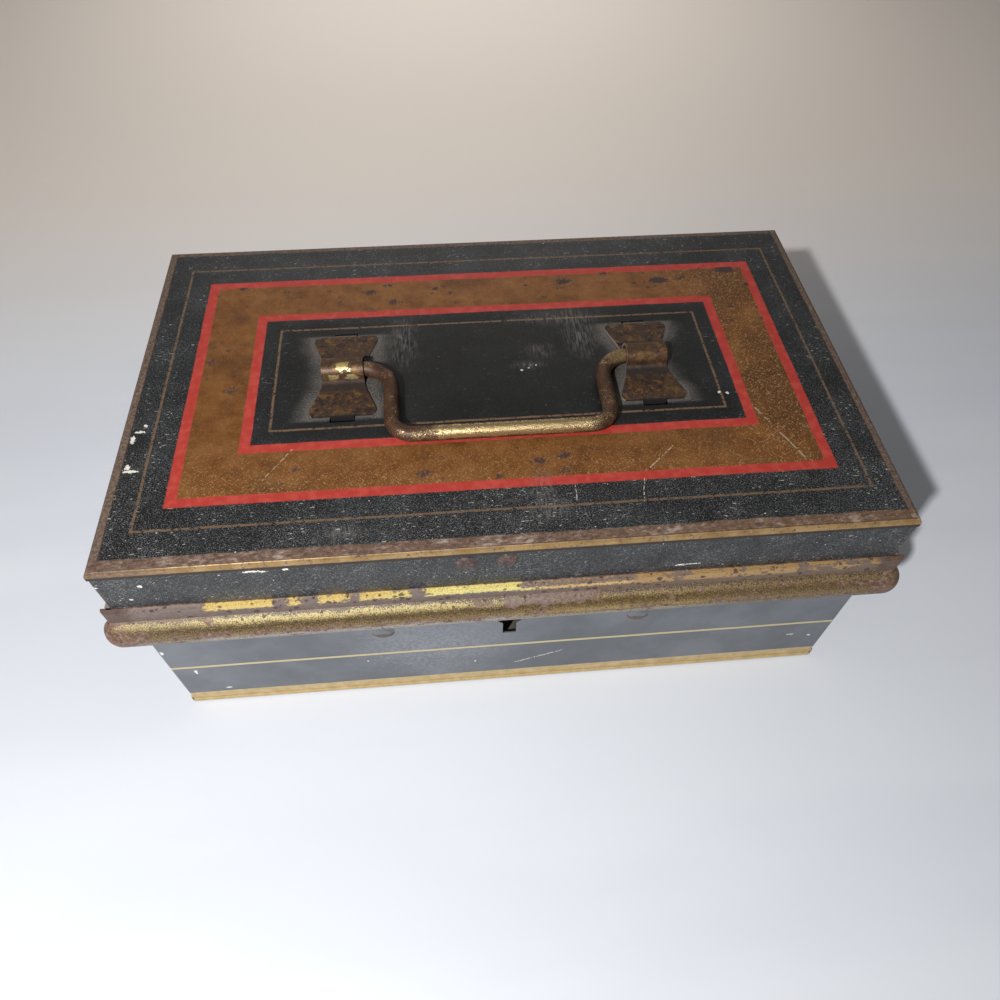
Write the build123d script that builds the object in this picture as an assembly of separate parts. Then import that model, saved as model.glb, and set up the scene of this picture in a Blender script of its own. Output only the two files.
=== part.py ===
from build123d import *
import os

# Japanned tinplate deed box: hinged lid with a half-round moulding, a bail handle held by two
# strap clips, and a small sliding-bolt lock. Millimetres. X runs along the box, -Y is the front,
# +Z is up. The origin is the centre of the box's underside.

# ---- driving sizes -------------------------------------------------------------------------
sheet = 0.5                 # tinplate thickness
solder_gap = 0.05           # solder film between sheets that are joined face to face
bend_radius = 1.2           # outside radius of the folded vertical corners

# lid
lid_length = 255.0          # over the lip of the lid's top
lid_width = 154.3
box_height = 99.6           # table to the top of the lid
lid_depth = 41.6            # lid's top down to the lower edge of its skirt
lip_height = 3.4            # edge of the top sheet folded down over the skirt
lip_radius = 1.6            # rounded outer edge of the lid's top
lap_width = 7.0             # overlap where a wrapped sheet's ends are soldered
lap_from_end = 16.0         # centre of that overlap from the left end, on the back

# body
rim_clearance = 1.5         # skirt to body, all round
rim_overlap = 10.9          # body rim above the lid's lower edge
rim_hem = 5.0               # depth of the folded hem on the rim
bottom_lip = 2.6            # edge of the bottom sheet turned up outside the wall
bottom_radius = 1.2

# moulding on the lid's front and sides
fillet_proud = 1.7          # upper band
fillet_height = 5.6
groove_proud = 0.9          # groove between the band and the bead
groove_height = 1.2
bead_proud = 5.2            # big half-round bead
moulding_height = 21.0
moulding_overhang = 1.3     # front length beyond the sides of the lid
moulding_turn_radius = 0.5  # inner radius of its turned ends
moulding_butt_gap = 0.3     # side lengths butt behind the front one

# hinge
hinge_pin_diameter = 2.4
hinge_running_clearance = 0.05
hinge_length = 44.0
hinge_knuckle_length = 12.0
hinge_knuckle_gap = 0.3
hinge_from_end = 43.2       # centre of each hinge from the end of the body
hinge_leaf_height = 13.0
barrel_clearance = 0.35     # barrel to the wall behind it and to the skirt above it

# bail handle and its clips
rod_diameter = 5.4
rod_clearance = 0.3
bail_span = 121.0           # over the two turned-out ends
bail_arm_spacing = 74.4     # between the centre lines of the arms
bail_reach = 32.0           # pivot to the grip's centre line
bail_elbow_radius = 10.5    # where an end turns into an arm
bail_grip_radius = 7.5      # where an arm turns into the grip
clip_sheet = 0.7
clip_spacing = 108.4        # between the centres of the clips
clip_length = 39.6
clip_wing_width = 25.4      # over a wing's corners before they are rounded
clip_waist_width = 14.4
clip_waist_length = 11.0
clip_corner_radius = 3.0
clip_neck_radius = 24.0     # where the waist widens into a wing
clip_tab_width = 8.0
clip_tab_length = 5.0
clip_slot_length = 8.6      # slot in the lid for a clip's tab
clip_slot_width = 2.4
clip_root_radius = 2.2      # where the arch meets a wing
clip_slack = 1.2            # play of the arch behind the rod

# lock
key_x = -0.8                # centre line of the keyhole
key_below_bolt = 7.0        # drill pin below the bolt, the reach of the key's bit
keyhole_diameter = 9.0
key_slot_width = 4.9
key_slot_drop = 11.2        # drill pin down to the end of the slot
key_pin_diameter = 2.4
key_pin_collar_diameter = 4.8
key_pin_collar_length = 1.6
lock_sheet = 0.8
lock_length = 76.0
lock_depth = 11.4
lock_below_slot = 5.0       # case's lower edge below the slot
lock_top_below_rim = 0.9
lock_rivet_spacing = 91.6
lock_rivet_below_rim = 22.0
lock_rivet_head = 8.0
lock_lug_height = 13.0
lock_lug_overhang = 6.5     # lug beyond the rivet
bolt_thickness = 2.0
bolt_from_wall = 3.6        # front wall's inner side to the bolt
bolt_height = 6.6
bolt_to_case_top = 2.7      # room for the spring over the bolt
bolt_length = 33.0
bolt_throw = 8.0
bolt_nose_radius = 1.0
bolt_tip_x = -4.2           # bolt's nose when it is drawn back
bolt_slot_start = 13.4      # from the nose
bolt_slot_height = 3.2
talon_from_tip = 7.4
talon_width = 6.4
talon_depth = 2.6
stud_spacing = 5.2
stud_head_diameter = 5.4
lock_clearance = 0.2        # moving lock pieces to their guides
spring_strip = 0.35         # blade spring bowed down over the bolt
spring_start_x = 10.0
spring_length = 25.0

# staple that the bolt enters
staple_sheet = 1.0
staple_x = -9.0
staple_head_width = 20.0
staple_head_height = 6.2
staple_width = 8.0
staple_loop_gap = 4.6       # between the two legs of the loop
staple_loop_below_bolt = 1.0
staple_leg_rise = 1.0       # free leg of the loop above the bolt
staple_shoulder = 5.0       # end of the inward slope above the rim
staple_jog_radius = 2.0
staple_loop_radius = 2.4
staple_head_corner = 2.0
staple_mouth_clearance = 1.1
staple_rivet_spacing = 12.9
staple_rivet_below_lid = 7.2
staple_rivet_head = 6.6
rivet_diameter = 3.0
rivet_head_height = 0.8
rivet_head_slope = 1.4      # bevel of the hammered head
rivet_clench_diameter = 5.0
rivet_hole_clearance = 0.05

# ---- sizes that follow -----------------------------------------------------------------------
lap = sheet + solder_gap
skirt_half_x = lid_length / 2
skirt_half_y = lid_width / 2
neck_half_x = skirt_half_x - lap
neck_half_y = skirt_half_y - lap
body_half_x = skirt_half_x - sheet - rim_clearance
body_half_y = skirt_half_y - sheet - rim_clearance
lid_under = box_height - sheet
skirt_bottom = box_height - lid_depth
rim_top = skirt_bottom + rim_overlap
wall_bottom = bottom_radius + solder_gap

hinge_offset = body_half_x - hinge_from_end
barrel_radius = hinge_pin_diameter / 2 + hinge_running_clearance + sheet
hinge_y = body_half_y + barrel_clearance + barrel_radius
hinge_z = skirt_bottom - barrel_clearance - barrel_radius

rod_radius = rod_diameter / 2
bail_z = box_height + rod_clearance + rod_radius
clip_bottom = box_height + solder_gap

wall_inside_y = -(body_half_y - sheet)
bolt_back = wall_inside_y + bolt_from_wall + bolt_thickness
bolt_middle_y = bolt_back - bolt_thickness / 2
lock_back = wall_inside_y + lock_depth
lock_top = rim_top - lock_top_below_rim
bolt_bottom = lock_top - lock_sheet - bolt_to_case_top - bolt_height
bolt_middle_z = bolt_bottom + bolt_height / 2
key_height = bolt_bottom - key_below_bolt
key_slot_bottom = key_height - key_slot_drop
lock_bottom = key_slot_bottom - lock_below_slot
lock_rivet_height = rim_top - lock_rivet_below_rim
stud_radius = (bolt_slot_height - 2 * lock_clearance) / 2
stud_x = bolt_tip_x + bolt_slot_start + stud_radius + lock_clearance


# ---- shared forms ------------------------------------------------------------------------------
def rounded_block(half_x, half_y, low, high, corner):
    """Upright block with rounded vertical corners."""
    outline = RectangleRounded(2 * half_x, 2 * half_y, corner)
    return extrude(Plane.XY.offset(low) * outline, high - low)


def wrapped_wall(half_x, half_y, low, high):
    """Sheet folded round four sides, its ends lapped and soldered on the back."""
    outside = rounded_block(half_x, half_y, low, high, bend_radius)
    inside = rounded_block(half_x - sheet, half_y - sheet, low - 1, high + 1, bend_radius - sheet)
    lap_x = -(half_x - lap_from_end)
    seam = block(lap_x - lap_width / 2, lap_x + lap_width / 2, half_y - sheet / 2, half_y + sheet, low, high)
    return outside - inside + seam


def block(x0, x1, y0, y1, z0, z1):
    """Box from its limits."""
    return Pos((x0 + x1) / 2, (y0 + y1) / 2, (z0 + z1) / 2) * Box(x1 - x0, y1 - y0, z1 - z0)


def strip_section(points, radii, thickness):
    """Section of a bent strip: a line with rounded bends, thickened to its left."""
    return make_face(offset(FilletPolyline(*points, radius=radii), amount=thickness, side=Side.LEFT))


def across(x0, x1, section):
    """Section drawn in Y and Z, carried along X from x0 to x1."""
    return extrude(Plane.YZ.offset(x0) * section, x1 - x0)


def rod_y(x, z, y0, y1, radius):
    """Round bar along Y."""
    return extrude(Plane.XZ.offset(-y0) * Pos(x, z) * Circle(radius), -(y1 - y0))


def rod_x(y, z, x0, x1, radius):
    """Round bar along X."""
    return extrude(Plane.YZ.offset(x0) * Pos(y, z) * Circle(radius), x1 - x0)


def rivet(x, z, front, back, head_radius):
    """Rivet along Y through sheets that lie between front and back."""
    rise = rivet_head_height
    seat = front - solder_gap
    tail = back + solder_gap
    half_section = make_face(Polyline(
        (0, seat - rise), (head_radius - rivet_head_slope, seat - rise), (head_radius, seat),
        (rivet_diameter / 2, seat), (rivet_diameter / 2, tail),
        (rivet_clench_diameter / 2, tail), (rivet_clench_diameter / 2, tail + rise), (0, tail + rise),
        (0, seat - rise)))
    return Pos(x, 0, z) * revolve(half_section, Axis.Y)


def rivet_hole(x, z, front, back):
    return rod_y(x, z, front - 1, back + 1, rivet_diameter / 2 + rivet_hole_clearance)


# ---- body ----------------------------------------------------------------------------------------
def keyhole_cut():
    front = -body_half_y - 1
    back = wall_inside_y + 1
    eye = rod_y(key_x, key_height, front, back, keyhole_diameter / 2)
    half = key_slot_width / 2
    return eye + block(key_x - half, key_x + half, front, back, key_slot_bottom, key_height)


def make_body_wall():
    wall = wrapped_wall(body_half_x, body_half_y, wall_bottom, rim_top)
    hem_outer = rounded_block(
        body_half_x - sheet, body_half_y - sheet, rim_top - rim_hem, rim_top, bend_radius - sheet)
    hem_inner = rounded_block(
        body_half_x - 2 * sheet, body_half_y - 2 * sheet, rim_top - rim_hem - 1, rim_top + 1,
        bend_radius - 2 * sheet)
    # the hem stops at the lock, whose case lies flat against the wall
    lock_bay = block(
        -lock_length / 2 - 2 * sheet, lock_length / 2 + 2 * sheet, -body_half_y + sheet,
        wall_inside_y + 2 * sheet, rim_top - rim_hem - 1, rim_top + 1)
    wall = wall + (hem_outer - hem_inner - lock_bay)
    wall = wall - keyhole_cut()
    for side in (-1, 1):
        rivet_x = side * lock_rivet_spacing / 2
        wall = wall - rivet_hole(rivet_x, lock_rivet_height, -body_half_y, wall_inside_y)
    return wall


def make_body_bottom():
    half_x = body_half_x + lap
    half_y = body_half_y + lap
    outside = rounded_block(half_x, half_y, 0, bottom_lip, bend_radius + lap)
    outside = fillet(outside.faces().sort_by(Axis.Z)[0].edges(), bottom_radius)
    inside = rounded_block(half_x - sheet, half_y - sheet, sheet, bottom_lip + 1, bend_radius + solder_gap)
    inside = fillet(inside.faces().sort_by(Axis.Z)[0].edges(), bottom_radius - sheet)
    # room for the lap of the wall
    lap_x = -(body_half_x - lap_from_end)
    seam_room = block(
        lap_x - lap_width / 2 - 1, lap_x + lap_width / 2 + 1, body_half_y - sheet, half_y + 1,
        bottom_radius, bottom_lip + 1)
    return outside - inside - seam_room


# ---- lid -----------------------------------------------------------------------------------------
def clip_slot_centres():
    for side in (-1, 1):
        for end in (-1, 1):
            slot_y = clip_length / 2 + clip_slot_width / 2 - solder_gap
            yield side * clip_spacing / 2, end * slot_y


def lid_cover(inset):
    """Form of the lid's top, its rounded edges mitred at the corners; inset for its inside."""
    half_x = lid_length / 2 - inset
    half_y = lid_width / 2 - inset
    cover = block(-half_x, half_x, -half_y, half_y, box_height - lip_height - inset, box_height - inset)
    return fillet(cover.faces().sort_by(Axis.Z)[-1].edges(), lip_radius - inset)


def make_lid_top():
    top = lid_cover(0) - lid_cover(sheet)
    for slot_x, slot_y in clip_slot_centres():
        half_length = clip_slot_length / 2
        half_width = clip_slot_width / 2
        top = top - block(slot_x - half_length, slot_x + half_length, slot_y - half_width,
                          slot_y + half_width, lid_under - 1, box_height + 1)
    return top


def make_lid_skirt():
    shelf = box_height - lip_height - solder_gap
    top = box_height - lip_radius
    skirt = wrapped_wall(skirt_half_x, skirt_half_y, skirt_bottom, shelf)
    # the upper edge is set in by a sheet's thickness, so that the lip over it lies flush
    skirt = skirt + rounded_block(skirt_half_x, skirt_half_y, shelf - sheet, shelf, bend_radius)
    skirt = skirt + rounded_block(neck_half_x, neck_half_y, shelf - sheet, top, bend_radius)
    skirt = skirt - rounded_block(
        neck_half_x - sheet, neck_half_y - sheet, shelf - 2 * sheet, top + 1, bend_radius - sheet)
    rivet_z = box_height - staple_rivet_below_lid
    for side in (-1, 1):
        rivet_x = staple_x + side * staple_rivet_spacing / 2
        skirt = skirt - rivet_hole(rivet_x, rivet_z, -skirt_half_y, -skirt_half_y + sheet)
    return skirt


def moulding_outline(inset):
    """Outer line of the moulding: distance from the skirt and height, inset for its inner side."""
    top = skirt_bottom + moulding_height - inset
    band_bottom = top + inset - fillet_height
    bead_top = band_bottom - groove_height
    bead_middle = (bead_top + skirt_bottom) / 2
    return make_face(
        Polyline(
            (solder_gap, skirt_bottom + inset), (solder_gap, top), (fillet_proud - inset, top),
            (fillet_proud - inset, band_bottom), (groove_proud - inset, band_bottom - groove_height / 2),
            (groove_proud - inset, bead_top - inset / 2))
        + ThreePointArc(
            (groove_proud - inset, bead_top - inset / 2), (bead_proud - inset, bead_middle),
            (groove_proud - inset, skirt_bottom + inset))
        + Line((groove_proud - inset, skirt_bottom + inset), (solder_gap, skirt_bottom + inset)))


def moulding_section():
    """Hollow half-round moulding with a flat band above it, pressed from one strip."""
    hollow = moulding_outline(sheet)
    return moulding_outline(0) - hollow


def make_front_moulding():
    section = moulding_section()
    straight = skirt_half_x + moulding_overhang - moulding_turn_radius
    facing_front = Plane(origin=(-straight, -skirt_half_y, 0), x_dir=(0, -1, 0), z_dir=(-1, 0, 0))
    moulding = extrude(facing_front * section, -2 * straight)
    for side in (-1, 1):
        corner = Vector(side * straight, -(skirt_half_y - moulding_turn_radius), 0)
        radial = Plane(origin=corner, x_dir=(0, -1, 0), z_dir=(-1, 0, 0))
        turn = revolve(radial * Pos(moulding_turn_radius, 0) * section, Axis(corner, (0, 0, side)), 90)
        moulding = moulding + turn
    return moulding


def make_side_moulding(side):
    section = moulding_section()
    front = -(skirt_half_y - moulding_turn_radius) + moulding_butt_gap
    length = skirt_half_y - bend_radius - front
    facing_side = Plane(origin=(side * skirt_half_x, front, 0), x_dir=(side, 0, 0), z_dir=(0, -side, 0))
    return extrude(facing_side * section, -side * length)


# ---- hinge -----------------------------------------------------------------------------------------
def knuckle_spans(middle):
    """X limits of a hinge's three knuckles: body, lid, body."""
    start = middle - hinge_length / 2
    end = middle + hinge_length / 2
    inner = hinge_knuckle_length
    return (
        (start, start + inner),
        (start + inner + hinge_knuckle_gap, end - inner - hinge_knuckle_gap),
        (end - inner, end))


def hinge_bore(middle):
    start = middle - hinge_length
    return rod_x(hinge_y, hinge_z, start, start + 2 * hinge_length,
                 hinge_pin_diameter / 2 + hinge_running_clearance)


def make_body_hinge_leaf(middle):
    face = body_half_y + solder_gap
    first, second, third = knuckle_spans(middle)
    leaf_top = hinge_z - barrel_radius - barrel_clearance
    leaf = block(first[0], third[1], face, face + sheet, hinge_z - hinge_leaf_height, leaf_top)
    for span in (first, third):
        leaf = leaf + block(span[0], span[1], face, face + sheet, leaf_top - 1, hinge_z)
        leaf = leaf + rod_x(hinge_y, hinge_z, span[0], span[1], barrel_radius)
    return leaf - hinge_bore(middle)


def make_lid_hinge_leaf(middle):
    face = skirt_half_y - sheet - solder_gap
    first, second, third = knuckle_spans(middle)
    leaf_bottom = hinge_z + barrel_radius + barrel_clearance
    leaf = block(first[0], third[1], face - sheet, face, leaf_bottom, hinge_z + hinge_leaf_height)
    leaf = leaf + block(second[0], second[1], face - sheet, face, hinge_z, leaf_bottom + 1)
    leaf = leaf + rod_x(hinge_y, hinge_z, second[0], second[1], barrel_radius)
    return leaf - hinge_bore(middle)


def make_hinge_pin(middle):
    start = middle - hinge_length / 2
    return rod_x(hinge_y, hinge_z, start, start + hinge_length, hinge_pin_diameter / 2)


# ---- handle ------------------------------------------------------------------------------------------
def make_handle_bail():
    arm = bail_arm_spacing / 2
    end = bail_span / 2
    route = FilletPolyline(
        (-end, 0, bail_z), (-arm, 0, bail_z), (-arm, -bail_reach, bail_z),
        (arm, -bail_reach, bail_z), (arm, 0, bail_z), (end, 0, bail_z),
        radius=[bail_elbow_radius, bail_grip_radius, bail_grip_radius, bail_elbow_radius])
    return sweep(Plane.YZ.offset(-end) * Pos(0, bail_z) * Circle(rod_radius), route)


def clip_plan(centre_x):
    """Bow-tie outline of a clip, seen from above."""
    wing = clip_wing_width / 2
    waist = clip_waist_width / 2
    end = clip_length / 2 + clip_sheet
    neck = clip_waist_length / 2
    corner = clip_corner_radius
    hollow = clip_neck_radius
    outline = FilletPolyline(
        (wing, -end), (waist, -neck), (waist, neck), (wing, end),
        (-wing, end), (-waist, neck), (-waist, -neck), (-wing, -end),
        radius=[corner, hollow, hollow, corner, corner, hollow, hollow, corner], close=True)
    return Pos(centre_x, 0) * make_face(outline)


def make_handle_clip(side):
    centre_x = side * clip_spacing / 2
    arch = rod_radius + rod_clearance
    arch_top = bail_z + arch
    arch_back = arch + clip_slack
    arch_bend = arch - solder_gap
    end = clip_length / 2
    # underside of the strap, from the front edge over the rod to the back edge
    strap = strip_section(
        [(-end, clip_bottom), (-arch, clip_bottom), (-arch, arch_top), (arch_back, arch_top),
         (arch_back, clip_bottom), (end, clip_bottom)],
        [clip_root_radius, arch_bend, arch_bend, clip_root_radius], clip_sheet)
    plan = extrude(Plane.XY.offset(clip_bottom - 1) * clip_plan(centre_x), arch + arch_top)
    clip = across(centre_x - clip_wing_width, centre_x + clip_wing_width, strap) & plan
    # tabs at both ends go down through the lid and are clenched under it
    under = lid_under - solder_gap
    half_tab = clip_tab_width / 2
    for facing in (-1, 1):
        outer = facing * (end + clip_sheet)
        near, far = sorted((facing * end, outer))
        drop = block(centre_x - half_tab, centre_x + half_tab, near, far, under - clip_sheet,
                     clip_bottom + clip_sheet)
        near, far = sorted((facing * (end - clip_tab_length), outer))
        clench = block(centre_x - half_tab, centre_x + half_tab, near, far, under - clip_sheet, under)
        clip = clip + drop + clench
    return clip


# ---- lock ----------------------------------------------------------------------------------------------
def make_lock_case():
    front = wall_inside_y + solder_gap
    half = lock_length / 2
    case = block(-half, half, front, lock_back, lock_bottom, lock_top)
    case = case - block(-half + lock_sheet, half - lock_sheet, front - 1, lock_back - lock_sheet,
                        lock_bottom + lock_sheet, lock_top - lock_sheet)
    lug = lock_rivet_spacing / 2 + lock_lug_overhang
    low = lock_rivet_height - lock_lug_height / 2
    for side in (-1, 1):
        inner = side * (half - lock_sheet)
        outer = side * lug
        near, far = sorted((inner, outer))
        ear = block(near, far, front, front + lock_sheet, low, low + lock_lug_height)
        rivet_x = side * lock_rivet_spacing / 2
        ear = ear - rivet_hole(rivet_x, lock_rivet_height, front, front + lock_sheet)
        case = case + ear
    # mouth in the case's top for the staple
    half_mouth = staple_width / 2 + staple_mouth_clearance
    case = case - block(
        staple_x - half_mouth, staple_x + half_mouth, staple_front() - staple_mouth_clearance,
        staple_front() + 2 * staple_sheet + staple_loop_gap + staple_mouth_clearance,
        lock_top - 2 * lock_sheet, lock_top + 1)
    return case


def make_key_pin():
    shank = rod_y(key_x, key_height, -body_half_y, lock_back - lock_sheet - solder_gap, key_pin_diameter / 2)
    collar = rod_y(key_x, key_height, lock_back - lock_sheet - solder_gap - key_pin_collar_length,
                   lock_back - lock_sheet - solder_gap, key_pin_collar_diameter / 2)
    return shank + collar


def make_bolt_studs():
    studs = []
    back = lock_back - lock_sheet - solder_gap
    head_front = bolt_back - bolt_thickness - lock_clearance
    for step in (0, 1):
        x = stud_x + step * stud_spacing
        stud = rod_y(x, bolt_middle_z, head_front - lock_sheet, back, stud_radius)
        stud = stud + rod_y(x, bolt_middle_z, head_front - lock_sheet, head_front, stud_head_diameter / 2)
        stud = stud + rod_y(x, bolt_middle_z, bolt_back + lock_clearance, back, stud_head_diameter / 2)
        studs.append(stud)
    return Compound(children=studs)


def make_lock_bolt():
    tip = bolt_tip_x
    front = bolt_back - bolt_thickness
    bolt = block(tip, tip + bolt_length, front, bolt_back, bolt_bottom, bolt_bottom + bolt_height)
    bolt = fillet(bolt.edges().filter_by(Axis.Y).group_by(Axis.X)[0], bolt_nose_radius)
    slot_end = bolt_slot_start + 2 * (stud_radius + lock_clearance) + bolt_throw + stud_spacing
    slot_middle = tip + (bolt_slot_start + slot_end) / 2
    slot = SlotOverall(slot_end - bolt_slot_start, bolt_slot_height)
    bolt = bolt - extrude(
        Plane.XZ.offset(-bolt_back - 1) * Pos(slot_middle, bolt_middle_z) * slot, bolt_thickness + 2)
    talon = tip + talon_from_tip
    notch = block(talon - talon_width / 2, talon + talon_width / 2, front - 1, bolt_back + 1,
                  bolt_bottom - 1, bolt_bottom + talon_depth)
    return bolt - notch


def make_bolt_spring():
    bolt_top = bolt_bottom + bolt_height
    ceiling = lock_top - lock_sheet - solder_gap
    start = spring_start_x
    end = spring_start_x + spring_length
    low = bolt_top + lock_clearance
    middle = (start + end) / 2
    arc = ThreePointArc((start, ceiling - spring_strip), (middle, low), (end, ceiling - spring_strip))
    upper = ThreePointArc((end, ceiling), (middle, low + spring_strip), (start, ceiling))
    outline = arc + Line(arc @ 1, upper @ 0) + upper + Line(upper @ 1, arc @ 0)
    front = bolt_back - bolt_thickness
    return extrude(Plane.XZ.offset(-bolt_back) * make_face(outline), bolt_thickness)


def staple_front():
    """Front face of the staple's loop, which stands astride the bolt."""
    return bolt_middle_y - staple_loop_gap / 2 - staple_sheet


def make_staple():
    head_front = -skirt_half_y + sheet + solder_gap
    head_back = head_front + staple_sheet
    rivet_z = box_height - staple_rivet_below_lid
    head_low = rivet_z - staple_head_height / 2
    head_high = rivet_z + staple_head_height / 2
    front = staple_front()
    loop_back = front + 2 * staple_sheet + staple_loop_gap
    bottom = bolt_bottom - staple_loop_below_bolt - staple_sheet
    leg_high = bolt_bottom + bolt_height + staple_leg_rise
    shoulder = rim_top + staple_shoulder
    # front side of the strap: down the head, across behind the rim, down and round under the bolt
    strap = strip_section(
        [(head_front, head_high), (head_front, head_low), (front, shoulder), (front, bottom),
         (loop_back, bottom), (loop_back, leg_high)],
        [staple_jog_radius, staple_jog_radius, staple_loop_radius, staple_loop_radius], staple_sheet)
    staple = across(staple_x - staple_width / 2, staple_x + staple_width / 2, strap)
    half = staple_head_width / 2
    head = block(staple_x - half, staple_x + half, head_front, head_back, head_low, head_high)
    head = fillet(head.edges().filter_by(Axis.Y), staple_head_corner)
    staple = staple + head
    for side in (-1, 1):
        rivet_x = staple_x + side * staple_rivet_spacing / 2
        staple = staple - rivet_hole(rivet_x, rivet_z, head_front, head_back)
    return staple


def make_lock_rivets():
    back = wall_inside_y + solder_gap + lock_sheet
    return Compound(children=[
        rivet(side * lock_rivet_spacing / 2, lock_rivet_height, -body_half_y, back, lock_rivet_head / 2)
        for side in (-1, 1)])


def make_staple_rivets():
    back = -skirt_half_y + sheet + solder_gap + staple_sheet
    height = box_height - staple_rivet_below_lid
    return Compound(children=[
        rivet(staple_x + side * staple_rivet_spacing / 2, height, -skirt_half_y, back, staple_rivet_head / 2)
        for side in (-1, 1)])


# ---- assembly --------------------------------------------------------------------------------------------
parts = {
    "body_wall": make_body_wall(),
    "body_bottom": make_body_bottom(),
    "lid_top": make_lid_top(),
    "lid_skirt": make_lid_skirt(),
    "front_moulding": make_front_moulding(),
    "left_moulding": make_side_moulding(-1),
    "right_moulding": make_side_moulding(1),
    "handle_bail": make_handle_bail(),
    "lock_case": make_lock_case(),
    "key_pin": make_key_pin(),
    "bolt_studs": make_bolt_studs(),
    "lock_bolt": make_lock_bolt(),
    "bolt_spring": make_bolt_spring(),
    "lock_rivets": make_lock_rivets(),
    "staple": make_staple(),
    "staple_rivets": make_staple_rivets(),
}
for name, side in (("left", -1), ("right", 1)):
    parts[name + "_handle_clip"] = make_handle_clip(side)
    parts[name + "_body_hinge_leaf"] = make_body_hinge_leaf(side * hinge_offset)
    parts[name + "_lid_hinge_leaf"] = make_lid_hinge_leaf(side * hinge_offset)
    parts[name + "_hinge_pin"] = make_hinge_pin(side * hinge_offset)

os.makedirs("parts", exist_ok=True)
for node, solid in parts.items():
    export_step(solid, f"parts/{node}.step")

print(f"hinge axis y {hinge_y:.2f} z {hinge_z:.2f}, bail axis z {bail_z:.2f}")
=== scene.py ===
import bpy
from mathutils import Matrix, Vector


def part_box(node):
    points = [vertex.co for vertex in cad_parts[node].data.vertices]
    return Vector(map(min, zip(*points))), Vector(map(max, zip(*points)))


# Worn japanned deed box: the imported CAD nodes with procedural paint, gilding, rust and dust.
# Positions inside the materials are in millimetres in the row frame; the front is -Y.

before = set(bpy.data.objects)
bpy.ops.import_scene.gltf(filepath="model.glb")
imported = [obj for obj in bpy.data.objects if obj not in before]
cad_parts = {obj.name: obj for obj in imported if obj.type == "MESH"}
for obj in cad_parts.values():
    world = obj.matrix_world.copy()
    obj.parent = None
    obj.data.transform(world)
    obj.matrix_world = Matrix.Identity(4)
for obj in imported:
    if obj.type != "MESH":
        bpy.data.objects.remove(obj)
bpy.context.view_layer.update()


def srgb(red, green, blue):
    """Linear colour from 0-255 screen values."""
    def linear(channel):
        channel = channel / 255
        return channel / 12.92 if channel <= 0.04045 else ((channel + 0.055) / 1.055) ** 2.4
    return (linear(red), linear(green), linear(blue), 1.0)


def stops(*rows):
    """Places and colours of a ramp from rows of place, red, green, blue."""
    return [(place, srgb(*colour)) for place, *colour in rows]


def box_mm(node):
    low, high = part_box(node)
    return [1000 * v for v in low], [1000 * v for v in high]


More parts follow.
